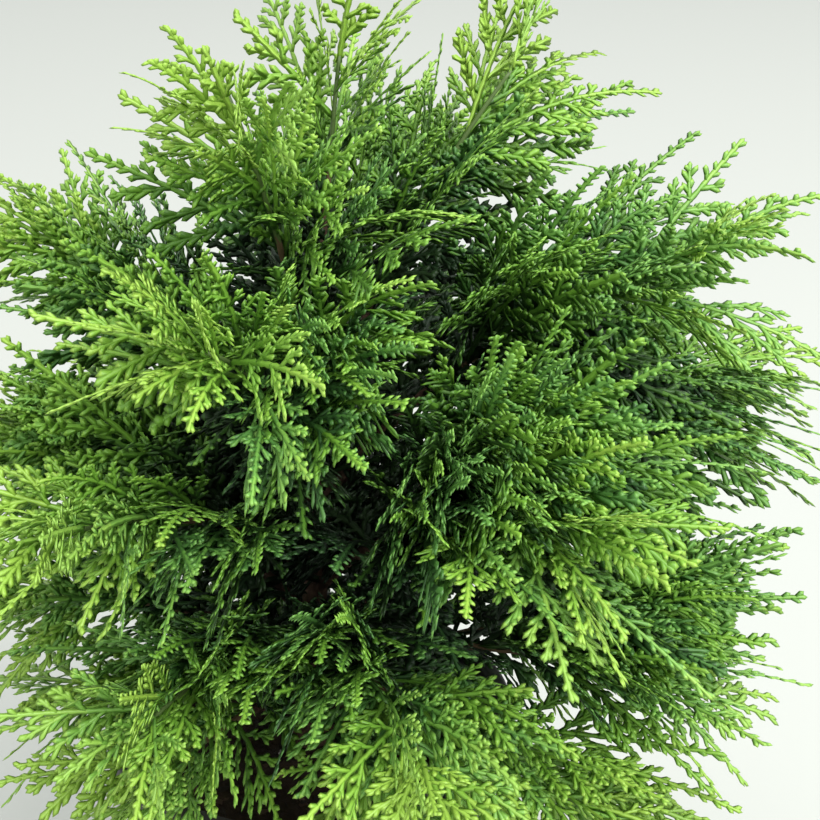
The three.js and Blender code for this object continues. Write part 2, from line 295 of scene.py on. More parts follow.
CHIP = {
    "count": 420,
    "seed": 11,
    "spread": 50,
    "sinking": (0.4, 40),  # by so much at so far from the middle, as the compost does
    "size": (0.5, 2.4),
    "shape": (1.5, 0.8, 0.45),
    "shape_vary": (0.7, 1.2),
    "knock": 0.3,
    "tilt": 0.5,
    "kinds": (0.5, 0.85, 0.96),  # up to these shares dark crumbs, bark chips and dry chips, and then perlite
}
CHIP_CORNERS = np.array([(1, 0, 0), (-1, 0, 0), (0, 1, 0), (0, -1, 0), (0, 0, 1), (0, 0, -1)], float)
CHIP_FACES = np.array(
    [(0, 2, 4), (2, 1, 4), (1, 3, 4), (3, 0, 4), (2, 0, 5), (1, 2, 5), (3, 1, 5), (0, 3, 5)]
)


def plain_finish(name, colour, roughness):
    return new_finish(name, {"Base Color": (*colour, 1), "Roughness": roughness})[0]


def mesh_from(name, corners, faces, finish_of, finishes, smooth=True):
    """One joined mesh from arrays: corners in millimetres, three-cornered faces, and each face's finish."""
    mesh = bpy.data.meshes.new(name)
    mesh.vertices.add(len(corners))
    mesh.vertices.foreach_set("co", (corners * MM).astype(np.float32).ravel())
    mesh.loops.add(faces.size)
    mesh.loops.foreach_set("vertex_index", faces.astype(np.int32).ravel())
    mesh.polygons.add(len(faces))
    mesh.polygons.foreach_set("loop_start", np.arange(0, faces.size, 3, dtype=np.int32))
    for finish in finishes:
        mesh.materials.append(finish)
    mesh.polygons.foreach_set("material_index", finish_of.astype(np.int32))
    mesh.polygons.foreach_set("use_smooth", np.full(len(faces), smooth))
    mesh.update(calc_edges=True)
    piece = bpy.data.objects.new(name, mesh)
    bpy.context.scene.collection.objects.link(piece)
    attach(piece, "root")
    return piece


def either_way(rng, most, size=None):
    return rng.uniform(-most, most, size)


def turned(first, second, angle):
    """Two coordinates of the corners of every chip, each chip turned by its own angle."""
    cosine, sine = np.cos(angle)[:, None], np.sin(angle)[:, None]
    return first * cosine - second * sine, first * sine + second * cosine


def scatter_chips():
    """Loose crumbs: each an eight-faced lump, knocked out of true, flattened and turned."""
    rng, count = np.random.default_rng(CHIP["seed"]), CHIP["count"]
    spread = CHIP["spread"] * np.sqrt(rng.uniform(0.01, 1, count))
    bearing = rng.uniform(0, 2 * math.pi, count)
    depth, distance = CHIP["sinking"]
    height = COMPOST_TOP - depth * (spread / distance) ** 4
    foot = np.stack([spread * np.cos(bearing), spread * np.sin(bearing), height], 1)
    size = rng.uniform(*CHIP["size"], (count, 1, 1)) * CHIP["shape"]
    size = size * rng.uniform(*CHIP["shape_vary"], (count, 1, 3))
    shape = (CHIP_CORNERS + either_way(rng, CHIP["knock"], (count, len(CHIP_CORNERS), 3))) * size
    turn = rng.uniform(0, 2 * math.pi, count)
    x, y, z = np.moveaxis(shape, 2, 0)
    x, z = turned(x, z, either_way(rng, CHIP["tilt"], count))
    x, y = turned(x, y, turn)
    corners = np.stack([x, y, z], 2) + foot[:, None]
    faces = CHIP_FACES + len(CHIP_CORNERS) * np.arange(count)[:, None, None]
    kind = np.searchsorted(CHIP["kinds"], rng.uniform(0, 1, count))
    return corners.reshape(-1, 3), faces.reshape(-1, 3), np.repeat(kind, len(CHIP_FACES))


chip_finishes = [
    plain_finish("dark_crumb", (0.022, 0.014, 0.009), 0.9),
    plain_finish("bark_chip", (0.075, 0.043, 0.025), 0.85),
    plain_finish("dry_chip", (0.16, 0.105, 0.065), 0.85),
    plain_finish("perlite", (0.55, 0.53, 0.49), 0.9),
]
chips = mesh_from("compost_chips", *scatter_chips(), chip_finishes, smooth=False)

# The trunk: one tapering stem of reddish brown bark, 9 mm thick above the flare where it stands in the
# compost. It leans a little to the right and runs up through the plant to carry the top sprays. The bark is
# stringy, in long shallow ridges.

UP = np.array([0.0, 0.0, 1.0])
NOMINAL_REACH, LIMB_STEP = 150, 5
TRUNK_LENGTH, TRUNK_SUNK, TRUNK_RISE = 122, 2, (87, 89)
TRUNK_FOOT, TRUNK_TIP, FLARE, FLARE_HEIGHT = 4.6, 1.8, 3.6, 7
TRUNK_RINGS, TRUNK_SIDES = 64, 40
TRUNK_RELIEF = [("ridges", 6, 2, 1.1), ("flakes", 1.8, 2, 0.5)]
DARK_BARK, BROWN_BARK, PALE_BARK = (0.020, 0.012, 0.008), (0.072, 0.041, 0.026), (0.170, 0.108, 0.070)


def lerp(low, high, share):
    return low + (high - low) * share


def direction(bearing, slope):
    level = math.cos(slope)
    return np.array([math.cos(bearing) * level, math.sin(bearing) * level, math.sin(slope)])


def heading(limb, distance):
    """The limb's own directions at a distance along it: along, across and above."""
    share = distance / NOMINAL_REACH
    bearing = math.radians(limb["bearing"] + limb["sway"] * share)
    along = direction(bearing, math.radians(lerp(*limb["rise"], share)))
    across = np.array([-math.sin(bearing), math.cos(bearing), 0])
    return along, across, np.cross(along, across)


def point_at(limb, distance):
    points = limb["points"]
    place = min(max(distance / LIMB_STEP, 0), len(points) - 1)
    index = min(int(place), len(points) - 2)
    return lerp(points[index], points[index + 1], place - index)


def points_along(limb, distances):
    return np.array([point_at(limb, distance) for distance in distances])


def grow(limb, foot, keep_on):
    """Adds steps to a limb for as long as keep_on(end, length) holds."""
    points, length = [np.array(foot, float)], 0
    while keep_on(points[-1], length):
        points.append(points[-1] + LIMB_STEP * heading(limb, length + LIMB_STEP / 2)[0])
        length += LIMB_STEP
    limb["points"], limb["length"] = np.array(points), length


def bark():
    finish, shader, places = new_finish("cypress_bark", {"Specular IOR Level": 0.3})
    strings = places.stretched(1, 1, 0.18).noise(scale=700, detail=4, roughness=0.6)
    flakes = places.noise(scale=260)
    colour = (0.65 * strings + 0.45 * flakes).ramp((0.32, DARK_BARK), (0.52, BROWN_BARK), (0.72, PALE_BARK))
    normal = (strings + 0.6 * flakes).bump(strength=0.8, distance=0.0006)
    feed(shader, {"Base Color": colour, "Roughness": 0.7 + 0.2 * flakes, "Normal": normal})
    return finish


def add_limb(name, limb, distances, radii, sides):
    """A round limb drawn out along its points from a disc that faces its general way."""
    points = points_along(limb, distances)
    deselect()
    bpy.ops.mesh.primitive_circle_add(
        vertices=sides,
        radius=radii[0] * MM,
        fill_type="NGON",
        location=Vector(points[0]) * MM,
        rotation=Vector(points[-1] - points[0]).to_track_quat("Z", "Y").to_euler(),
    )
    piece = bpy.context.object
    piece.name = name
    settle(piece)
    bpy.ops.object.mode_set(mode="EDIT")
    bpy.ops.mesh.select_mode(type="FACE")
    bpy.ops.mesh.select_all(action="SELECT")
    for here, there, radius, next_radius in zip(points, points[1:], radii, radii[1:]):
        bpy.ops.mesh.extrude_region_move(TRANSFORM_OT_translate={"value": Vector(there - here) * MM})
        grown = next_radius / radius
        bpy.ops.transform.resize(value=(grown, grown, grown), center_override=Vector(there) * MM)
    bpy.ops.mesh.select_all(action="SELECT")
    bpy.ops.mesh.normals_make_consistent(inside=False)
    bpy.ops.object.mode_set(mode="OBJECT")
    return piece


trunk_path = {"bearing": 0, "sway": 0, "rise": TRUNK_RISE}
grow(trunk_path, (0, 0, COMPOST_TOP - TRUNK_SUNK), lambda end, length: length < TRUNK_LENGTH)
heights = np.linspace(0, trunk_path["length"], TRUNK_RINGS)
trunk_radii = lerp(TRUNK_FOOT, TRUNK_TIP, heights / trunk_path["length"])
trunk_radii = trunk_radii + FLARE * np.exp(-heights / FLARE_HEIGHT)
trunk = add_limb("trunk_bark", trunk_path, heights, trunk_radii, TRUNK_SIDES)
raise_relief(trunk, TRUNK_RELIEF)
apply_all(trunk)
bpy.ops.object.shade_smooth()
bark_finish = bark()
trunk.data.materials.append(bark_finish)
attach(trunk, "root")
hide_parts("trunk")

# The boughs: four tiers that leave the trunk all round, the low ones arching down over the rim and the upper
# ones rising. Each is one thin tapering limb of the same bark that ends where its foliage begins. A last tier
# of three and a leader, at the top of the trunk, bear foliage all along and have no bough.

CROWN_CENTRE = np.array([25, 0, 207])
CROWN_RADIUS = np.array([128, 114, 120])
DOME_POWER, SKIRT_POWER = 2.4, 3.2
TIERS = {
    "low": {"count": 8, "first": -80, "foot": 10, "spread": 10, "rise": (30, -52)},
    "middle": {"count": 7, "first": -24, "foot": 28, "spread": 14, "rise": (32, -32)},
    "high": {"count": 6, "first": -58, "foot": 52, "spread": 14, "rise": (46, -4)},
    "upper": {"count": 4, "first": 0, "foot": 78, "spread": 12, "rise": (62, 16)},
    "top": {"count": 3, "first": 26, "foot": 100, "spread": 10, "rise": (76, 48)},
}
LEADER = {"name": "leader", "bearing": 20, "sway": 0, "rise": (86, 80), "reach": 1, "first_side": 1}
SEEDS = {"limb": 1000, "sprays": 77, "leader": 5}
RUN_FACTOR, RUN_STEP, RUN_PASSED = 1664525, 1013904223, 3
VARY = {"bearing": 0.3, "sway": 24, "rise": 10, "reach": (0.97, 1.07)}
BOUGH_SHARE, BOUGH_FOOT, BOUGH_TIP = 0.25, 2.1, 1.5
BOUGH_FLARE, BOUGH_FLARE_LENGTH = 0.9, 2.5
BOUGH_RINGS, BOUGH_SIDES = 14, 16
BOUGH_RELIEF = [("bough ridges", 3.5, 2, 0.7), ("bough flakes", 1.2, 1, 0.3)]


def seeded(seed):
    """A run of numbers from 0 to 1, the same as the one that placed the solid boughs."""
    state = seed
    passed = 0
    while True:
        state = (state * RUN_FACTOR + RUN_STEP) % 2**32
        passed += 1
        if passed > RUN_PASSED:
            yield state / 2**32


def aside(run):
    return next(run) - 0.5


def outline_at(point):
    """1 on the outline of the whole plant's foliage, less inside it."""
    x, y, z = ((point - CROWN_CENTRE) / CROWN_RADIUS).T
    power = np.where(z < 0, SKIRT_POWER, DOME_POWER)
    return (np.hypot(x, y) ** power + np.abs(z) ** power) ** (1 / power)


def limb_of(name, tier, i, order):
    run = seeded(SEEDS["limb"] * (order + 1))
    limb = {
        "name": f"{name}_{i + 1}",
        "direct": name == "top",
        "seed": SEEDS["sprays"] * (order + 3),
        "bearing": tier["first"] + (i + VARY["bearing"] * aside(run)) * 360 / tier["count"],
        "sway": VARY["sway"] * aside(run),
        "rise": [slope + VARY["rise"] * aside(run) for slope in tier["rise"]],
        "reach": lerp(*VARY["reach"], next(run)),
        "first_side": 1 if next(run) < 0.5 else -1,
    }
    foot = point_at(trunk_path, tier["foot"] + tier["spread"] * (2 * i % tier["count"]) / tier["count"])
    grow(limb, foot, lambda end, length: outline_at(end) < limb["reach"])
    limb["bare"] = 0 if limb["direct"] else limb["length"] * BOUGH_SHARE
    return limb


def add_bough(limb):
    distances = np.linspace(0, limb["bare"], BOUGH_RINGS)
    radii = lerp(BOUGH_FOOT, BOUGH_TIP, distances / limb["bare"])
    radii = radii + BOUGH_FLARE * np.exp(-distances / BOUGH_FLARE_LENGTH)
    return add_limb(f"bough_{limb['name']}", limb, distances, radii, BOUGH_SIDES)


limbs = []
for name, tier in TIERS.items():
    for i in range(tier["count"]):
        limbs.append(limb_of(name, tier, i, len(limbs)))
leader = {**LEADER, "direct": True, "seed": SEEDS["leader"], "bare": 0}
grow(leader, trunk_path["points"][-1], lambda end, length: outline_at(end) < leader["reach"])
limbs.append(leader)

bough_limbs = [limb for limb in limbs if not limb["direct"]]
boughs = [add_bough(limb) for limb in bough_limbs]
deselect()
for each in boughs:
    each.select_set(True)
bpy.context.view_layer.objects.active = boughs[0]
bpy.ops.object.join()
bough_bark = bpy.context.object
bough_bark.name = "bough_bark"
raise_relief(bough_bark, BOUGH_RELIEF)
apply_all(bough_bark)
bpy.ops.object.shade_smooth()
bough_bark.data.materials.append(bark_finish)
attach(bough_bark, "root")
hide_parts(*[f"bough_{limb['name']}" for limb in bough_limbs])

# The stems that carry the sprays: each grows on from its bough's tip, or from the trunk at the top, brown at
# first and green where it is young, and thins out to its last spray.

STEM_SHARE = 0.76  # of the limb's length, from its foot to its last spray
STEM = {"foot": 1.35, "tip": 0.5, "taper": 0.7, "sides": 7, "step": 2.5, "past": 1, "uneven": (0.88, 1.12)}
STEM_SEED = 21
YOUNG_FROM = (0.34, 0.48)  # shares of the limb's length where its wood is young and brown, and then green
NOT_UPRIGHT = 0.01  # tips UP a little, so that it never lies along an upright stem


def unit(vector):
    return vector / np.linalg.norm(vector)


def tube(points, radii, rng):
    """A thin round stem of three-cornered faces, a little uneven, and closed at both ends."""
    sides = STEM["sides"]
    way = np.gradient(points, axis=0)
    way /= np.linalg.norm(way, axis=1, keepdims=True)
    across = np.cross(way, UP + NOT_UPRIGHT)
    across /= np.linalg.norm(across, axis=1, keepdims=True)
    above = np.cross(way, across)
    turn = np.arange(sides) / sides * 2 * math.pi
    rough = radii[:, None] * rng.uniform(*STEM["uneven"], (len(points), sides))
    ring = across[:, None] * (np.cos(turn) * rough)[..., None]
    ring = ring + above[:, None] * (np.sin(turn) * rough)[..., None]
    corners = np.vstack([(points[:, None] + ring).reshape(-1, 3), points[:1], points[-1:]])
    rings = sides * np.arange(len(points) - 1)[:, None]
    here = (rings + np.arange(sides)).ravel()
    beside = (rings + (np.arange(sides) + 1) % sides).ravel()
    foot, tip = len(corners) - 2, len(corners) - 1
    first, last = here[:sides], here[-sides:] + sides
    faces = np.vstack(
        [
            np.stack([here, here + sides, beside], 1),
            np.stack([beside, here + sides, beside + sides], 1),
            np.stack([np.full(sides, foot), first, np.roll(first, -1)], 1),
            np.stack([np.full(sides, tip), np.roll(last, -1), last], 1),
        ]
    )
    return corners, faces


def joined(parts):
    """Several (corners, faces, finish of each face) as one."""
    starts = np.cumsum([0] + [len(corners) for corners, _, _ in parts[:-1]])
    return (
        np.vstack([corners for corners, _, _ in parts]),
        np.vstack([faces + start for (_, faces, _), start in zip(parts, starts)]),
        np.concatenate([finish for _, _, finish in parts]),
    )


def stem_of(limb, rng):
    distances = np.arange(limb["bare"], limb["end"] + STEM["past"], STEM["step"])
    share = (distances - distances[0]) / (distances[-1] - distances[0])
    radii = lerp(STEM["foot"], STEM["tip"], share ** STEM["taper"])
    corners, faces = tube(points_along(limb, distances), radii, rng)
    height = np.linalg.norm(corners[faces[:, 0]] - limb["points"][0], axis=1) / limb["length"]
    return corners, faces, np.searchsorted(YOUNG_FROM, height)


stem_finishes = [
    bark_finish,
    plain_finish("young_brown_wood", (0.115, 0.075, 0.035), 0.65),
    plain_finish("young_green_wood", (0.085, 0.135, 0.035), 0.55),
]
for limb in limbs:
    limb["end"] = limb["length"] * STEM_SHARE
stem_rng = np.random.default_rng(STEM_SEED)
stem_piece = mesh_from("spray_stems", *joined([stem_of(limb, stem_rng) for limb in limbs]), stem_finishes)

# The main sprays of the foliage: flat fans that leave each stem to left and right in turn, placed by the same
# rule as the blades of the solid masses. Each takes the lift that gives it most room, and droops to its tip.

SPRAY = {
    "count": 9,
    "place_vary": 0.4,
    "last_sunk": 1,
    "length": (62, 44),
    "length_vary": (0.9, 1.15),
    "turn": (62, 36),
    "turn_vary": 12,
    "lifts": (0, 30, -30, 65, -65),
    "lift_vary": 20,
    "faces_up": 0.6,
    "faces_out": 0.7,
    "stray": 0.7,
}
DROOP, ARCH = 0.1, 0.85
TEETH, STALK, OVERLAP, WIDTH, NARROWING, BULGE, NOTCH, ROOT_WIDTH = 3, 0.06, 1.2, 0.36, 0.72, 1.4, 0.5, 0.014
TOOTH_PITCH = (1 - STALK) / (TEETH + 0.4)
ROOM = {"past": 0.03, "pot": 8, "pot_top": 3, "trunk": 1.2, "own_stem": 0.8, "apart": 7, "root": 4}
TRIES = (1, 0.9, 0.8, 0.7, 0.6, 0.5)
LEVEL = np.array([1, 1, 0])  # takes the rise out of a direction


def blade_outline():
    """The corners that a spray of unit length needs room for, along it and across it."""
    corners = [(1, 0)]
    for i in range(TEETH):
        foot = 0 if i == 0 else STALK + i * TOOTH_PITCH
        tip = STALK + (i + OVERLAP) * TOOTH_PITCH
        reach = WIDTH * (1 - NARROWING * (i / (TEETH - 1)) ** BULGE)
        notch = ROOT_WIDTH if i == 0 else reach * NOTCH
        corners += [(foot, 0), (foot, notch), (foot, -notch), (tip, reach), (tip, -reach)]
    return np.array(corners)


BLADE = blade_outline()


def stray_of(run):
    return np.array([aside(run), aside(run), aside(run)])


def spray_places(limb, run):
    """The place of each spray on the stem, to both sides in turn, and of the one at the stem's end."""
    places = []
    for i in range(SPRAY["count"]):
        share = (i + 0.5 + SPRAY["place_vary"] * aside(run)) / SPRAY["count"]
        places.append(
            {
                "distance": lerp(limb["bare"] + ROOM["root"], limb["end"] - ROOM["root"], share),
                "side": (1 if i % 2 else -1) * limb["first_side"],
                "turn": math.radians(lerp(*SPRAY["turn"], share) + SPRAY["turn_vary"] * aside(run)),
                "full": lerp(*SPRAY["length"], share) * lerp(*SPRAY["length_vary"], next(run)),
                "stray": stray_of(run),
                "lifts": [lift + SPRAY["lift_vary"] * aside(run) for lift in SPRAY["lifts"]],
            }
        )
    last = {"distance": limb["end"] - SPRAY["last_sunk"], "side": 1, "turn": 0, "lifts": [0]}
    return [*places, {**last, "full": limb["length"] - limb["end"], "stray": stray_of(run)}]


def new_spray(root, along, facing, length):
    across = unit(np.cross(facing, along))
    return {"root": root, "along": along, "across": across, "length": length, "droop": DROOP, "grain": 1}


def spray_at(limb, place, lift, length):
    along, across, above = heading(limb, place["distance"])
    outward = across * place["side"] * math.cos(lift) + above * math.sin(lift)
    way = along * math.cos(place["turn"]) + outward * math.sin(place["turn"])
    root = point_at(limb, place["distance"])
    from_middle = unit((root - CROWN_CENTRE) * LEVEL)
    facing = from_middle * SPRAY["faces_out"] + UP * SPRAY["faces_up"] + place["stray"] * SPRAY["stray"]
    return new_spray(root, way, facing, length)


def blade_points(spray):
    along, across = BLADE[:, :1], BLADE[:, 1:]
    flat = along * spray["along"] + across * spray["across"]
    return spray["root"] + spray["length"] * (flat - spray["droop"] * along**2 * UP)


def arched(spray, droop):
    """The same spray, risen at first and drooping further on, so that its tip stays nearly where it was."""
    along = unit(spray["along"] + ARCH * (droop - DROOP) * UP)
    across = unit(spray["across"] - (spray["across"] @ along) * along)
    return {**spray, "along": along, "across": across, "droop": droop}


def nearest(points, others):
    return np.linalg.norm(points[:, None] - others[None], axis=2).min(axis=1)


def clear_of_pot(points):
    over_pot = np.hypot(points[:, 0], points[:, 1]) < TOP_RADIUS + ROOM["pot"]
    return ~(over_pot & (points[:, 2] < POT_HEIGHT + ROOM["pot_top"]))


def fits_plant(spray, reach):
    points = blade_points(spray)
    return (outline_at(points) < reach + ROOM["past"]).all() and clear_of_pot(points).all()


def rib_distance(points, other):
    out = points - other["root"]
    reach = np.clip(out @ other["along"], 0, other["length"])
    return np.linalg.norm(out - reach[:, None] * other["along"], axis=1)


def has_room(spray, limb, sprays):
    """Whether a spray keeps in the outline, off the pot and other sprays, and nearest to its own stem."""
    if not fits_plant(spray, limb["reach"]):
        return False
    points = blade_points(spray)
    points = points[np.linalg.norm(points - spray["root"], axis=1) >= ROOM["root"]]
    if (nearest(points, trunk_path["points"]) < TRUNK_FOOT + ROOM["trunk"]).any():
        return False
    home = nearest(points, limb["points"][int(limb["bare"] / LIMB_STEP):]) + ROOM["own_stem"]
    if any((nearest(points, other["points"]) < home).any() for other in limbs if other is not limb):
        return False
    return all((rib_distance(points, other) > ROOM["apart"]).all() for other in sprays)


def main_sprays(limb):
    """Each spray takes the lift that lets it grow longest, and one that finds no room is left out."""
    sprays = []
    for place in spray_places(limb, seeded(limb["seed"])):
        options = (
            spray_at(limb, place, math.radians(lift), place["full"] * share)
            for share in TRIES
            for lift in place["lifts"]
        )
        found = next((option for option in options if has_room(option, limb, sprays)), None)
        if found:
            sprays.append(found)
    return sprays


# The finer sprays between the main ones, on the same limbs and within the same reach: long narrow fronds
# along the outer half of each stem, short ones along the whole limb, and shaded ones on the trunk.

SHORTER = (1, 0.85, 0.7, 0.55)
LONG = {
    "places": (0.5, 0.98, 4),
    "turn": (0.18, 0.5),
    "stray": 0.9,
    "droop": (0.1, 0.35),
    "length": (58, 82),
    "lift": (-0.9, 0.9),
    "breadth": (0.5, 0.75),
    "grain": 1,
}
SMALL_FIRST, SMALL_TURN, SMALL_TURN_LESS = 7, (0.6, 1.2), 0.4
SMALL = {"stray": 1, "droop": (0.1, 0.3), "breadth": (0.6, 0.9)}
INNER = {**SMALL, "length": (24, 40), "lift": (-0.4, 1.4), "pitch": (2.2, 3.6), "grain": 1.4}
OUTER = {**SMALL, "length": (28, 52), "lift": (-1.3, 1.3), "pitch": (4.2, 7.0), "grain": 1}
GOLDEN_ANGLE = 2.39996
TRUNK_SPRAY = {
    "places": (17, 118, 1.4),
    "bearing_vary": 0.3,
    "slope": (0, 28),
    "slope_gain": 34,
    "stray": 0.6,
    "out": 2,
    "length": (36, 60),
    "reach": 0.9,
}


def finer_spray(limb, distance, side, turn, kind, rng):
    """The spray at this place, as long as the plant's outline lets it grow, in a list that may be empty."""
    place = {"distance": distance, "side": side, "turn": turn, "stray": either_way(rng, kind["stray"], 3)}
    droop, length, lift, breadth = (rng.uniform(*kind[key]) for key in ("droop", "length", "lift", "breadth"))
    for shorter in SHORTER:
        spray = arched(spray_at(limb, place, lift, length * shorter), droop)
        if fits_plant(spray, limb["reach"]):
            return [{**spray, "breadth": breadth, "grain": kind["grain"]}]
    return []


def long_sprays(limb, rng):
    """Long narrow fronds that run on beside the stem and make its feathered end."""
    found = []
    for share in np.linspace(*LONG["places"]):
        side, turn = rng.choice([-1, 1]), rng.uniform(*LONG["turn"])
        found += finer_spray(limb, share * limb["end"], side, turn, LONG, rng)
    return found


def small_sprays(limb, rng):
    """Short sprays to left and right in turn, closer together and coarser along the shaded bough."""
    found = []
    distance, side = SMALL_FIRST, 1
    while distance < limb["end"]:
        side = -side
        kind = INNER if distance < limb["bare"] else OUTER
        turn = rng.uniform(*SMALL_TURN) - SMALL_TURN_LESS * distance / limb["end"]
        found += finer_spray(limb, distance, side, turn, kind, rng)
        distance += rng.uniform(*kind["pitch"])
    return found


def trunk_sprays(rng):
    """Shaded sprays that grow from the trunk itself between its boughs, all round it."""
    found = []
    for i, distance in enumerate(np.arange(*TRUNK_SPRAY["places"])):
        bearing = i * GOLDEN_ANGLE + either_way(rng, TRUNK_SPRAY["bearing_vary"])
        slope = rng.uniform(*TRUNK_SPRAY["slope"]) + TRUNK_SPRAY["slope_gain"] * distance / TRUNK_LENGTH
        way = direction(bearing, math.radians(slope))
        facing = way * LEVEL * SPRAY["faces_out"] + UP + either_way(rng, TRUNK_SPRAY["stray"], 3)
        root = point_at(trunk_path, distance) + way * LEVEL * TRUNK_SPRAY["out"]
        spray = new_spray(root, way, facing, rng.uniform(*TRUNK_SPRAY["length"]))
        if fits_plant(spray, TRUNK_SPRAY["reach"]):
            found.append({**spray, "breadth": rng.uniform(*INNER["breadth"]), "grain": INNER["grain"]})
    return found


for limb in limbs:
    rng = np.random.default_rng(limb["seed"])
    limb["sprays"] = main_sprays(limb) + long_sprays(limb, rng) + small_sprays(limb, rng)

# The filling sprays: bare places are looked for on the plant's outline and on shells inside it, and a spray
# grows to each from the stem that can reach it with the least turn. The plant stays open where the sky shows
# through its edge, and is filled closer in its densest patches.

SHELLS = [
    {"depth": 0.94, "targets": 330, "apart": 13, "lengths": (34, 92), "grain": 1, "broader": 1},
    {"depth": 0.76, "targets": 250, "apart": 11.5, "lengths": (26, 70), "grain": 1.15, "broader": 1},
    {"depth": 0.56, "targets": 120, "apart": 12, "lengths": (20, 50), "grain": 1.6, "broader": 1},
    {"depth": 0.40, "targets": 80, "apart": 11, "lengths": (16, 40), "grain": 1.6, "broader": 1},
]
PATCH_SHELLS = [
    {"depth": 0.90, "targets": 1500, "apart": 8, "lengths": (24, 92), "grain": 1.1, "broader": 1.25},
    {"depth": 0.78, "targets": 1200, "apart": 8.5, "lengths": (24, 80), "grain": 1.2, "broader": 1.25},
]
SHELL_HEIGHT = 1.8  # from the top down, in half heights of the plant
FILL = {"first": 10, "step": 6, "least_straight": 0.4, "length_cost": 0.004}
FILLING = {"stray": 1.1, "droop": (0.15, 0.4), "breadth": (0.6, 0.85)}
FILL_SEED = 57
# The densest patches and the open sky, each as the middle and the radius of a ball
DENSE = [
    ((52, -66, 250), 44),
    ((134, -10, 182), 40),
    ((-80, -10, 232), 34),
    ((-72, -40, 122), 30),
    ((-4, -80, 194), 32),
]
SKY = [
    ((-24, 38, 296), 30),
    ((-50, 10, 290), 26),
    ((128, 10, 286), 27),
    ((74, 0, 306), 19),
    ((66, -6, 288), 19),
    ((122, -36, 262), 18),
    ((124, 0, 244), 20),
    ((122, 36, 226), 18),
]
MOST_IN_SKY = 0.3


def in_dense(point):
    return any(np.linalg.norm(point - np.array(middle)) < radius for middle, radius in DENSE)


def in_sky(spray):
    """Whether too many of a spray's own points lie where the plant is open to the sky."""
    points = blade_points(spray)
    return any(
        (np.linalg.norm(points - np.array(middle), axis=1) < radius).mean() > MOST_IN_SKY
        for middle, radius in SKY
    )


def shell_target(shell, i):
    """One of many places spread evenly over the plant's outline or a shell inside it, from top to skirt."""
    height = 1 - SHELL_HEIGHT * (i + 0.5) / shell["targets"]
    bearing = i * GOLDEN_ANGLE
    flat = math.sqrt(1 - height**2)
    way = np.array([flat * math.cos(bearing), flat * math.sin(bearing), height]) * CROWN_RADIUS
    return CROWN_CENTRE + way * shell["depth"] / outline_at(CROWN_CENTRE + way)


def best_root(target, shell):
    """The limb and the place on it from which a spray to the target turns least, and is not too long."""
    best = None
    shortest, longest = shell["lengths"]
    for limb in limbs:
        for distance in np.arange(FILL["first"], limb["end"], FILL["step"]):
            root = point_at(limb, distance)
            length = np.linalg.norm(target - root)
            straight = heading(limb, distance)[0] @ ((target - root) / length)
            score = straight - FILL["length_cost"] * length
            fitting = straight > FILL["least_straight"] and shortest < length < longest
            if fitting and (best is None or score > best[0]):
                best = (score, limb, root, length)
    return best


def filling_spray(root, length, target, shell, rng):
    way = (target - root) / length
    outward = unit((root - CROWN_CENTRE) * LEVEL)
    facing = outward * SPRAY["faces_out"] + UP + either_way(rng, FILLING["stray"], 3)
    level = new_spray(root, way, facing, length)
    spray = arched({**level, "along": unit(way + UP * DROOP)}, rng.uniform(*FILLING["droop"]))
    return {**spray, "breadth": rng.uniform(*FILLING["breadth"]) * shell["broader"], "grain": shell["grain"]}


def fill_shell(shell, targets, ends, rng):
    """Adds a spray for each target that lies far enough from the ends of the sprays that are there."""
    for target in targets:
        if nearest(target[None], np.vstack(ends))[0] < shell["apart"] or not clear_of_pot(target[None])[0]:
            continue
        best = best_root(target, shell)
        if best is None:
            continue
        _, limb, root, length = best
        spray = filling_spray(root, length, target, shell, rng)
        if clear_of_pot(blade_points(spray)).all():
            limb["sprays"].append(spray)
            ends.append(blade_points(spray)[[0, -1]])


fill_rng = np.random.default_rng(FILL_SEED)
spray_ends = [blade_points(spray)[[0, -1]] for limb in limbs for spray in limb["sprays"]]
for shell in SHELLS:
    fill_shell(shell, [shell_target(shell, i) for i in range(shell["targets"])], spray_ends, fill_rng)
for shell in PATCH_SHELLS:
    patch_targets = [shell_target(shell, i) for i in range(shell["targets"])]
    fill_shell(shell, [target for target in patch_targets if in_dense(target)], spray_ends, fill_rng)
for limb in limbs:
    limb["sprays"] = [spray for spray in limb["sprays"] if not in_sky(spray)]

# The foliage on the sprays: each spray is a rib with side shoots to left and right in turn that are feathered
# with short twigs. Every shoot is a chain of tiny overlapping scale leaves pressed flat, so its edge is
# scalloped and its end is blunt. The old inner shoots are deep green and the growing tips yellow-green, and
# the darkest tones deep inside the crown are painted shade as well as old foliage.

TONES = 6
# The darkest greens serve both as old foliage and as painted shade deep inside the crown.
LEAF_COLOURS = [
    ("old_and_shaded_green", (0.012, 0.036, 0.006), 0.55),
    ("deep_green", (0.034, 0.096, 0.012), 0.5),
    ("leaf_green", (0.080, 0.200, 0.020), 0.46),
    ("fresh_green", (0.140, 0.310, 0.030), 0.45),
    ("light_green", (0.200, 0.392, 0.042), 0.45),
    ("yellow_green_tip", (0.275, 0.460, 0.058), 0.45),
    ("old_and_shaded_blue_green", (0.010, 0.033, 0.008), 0.55),
    ("deep_blue_green", (0.027, 0.086, 0.017), 0.5),
    ("blue_green", (0.064, 0.178, 0.033), 0.46),
    ("fresh_blue_green", (0.116, 0.278, 0.046), 0.45),
    ("light_blue_green", (0.174, 0.365, 0.056), 0.45),
    ("pale_tip", (0.250, 0.445, 0.066), 0.45),
]
GREENS = [plain_finish(*row) for row in LEAF_COLOURS]
TONE_STEPS = [0.14, 0.30, 0.46, 0.64, 0.82]
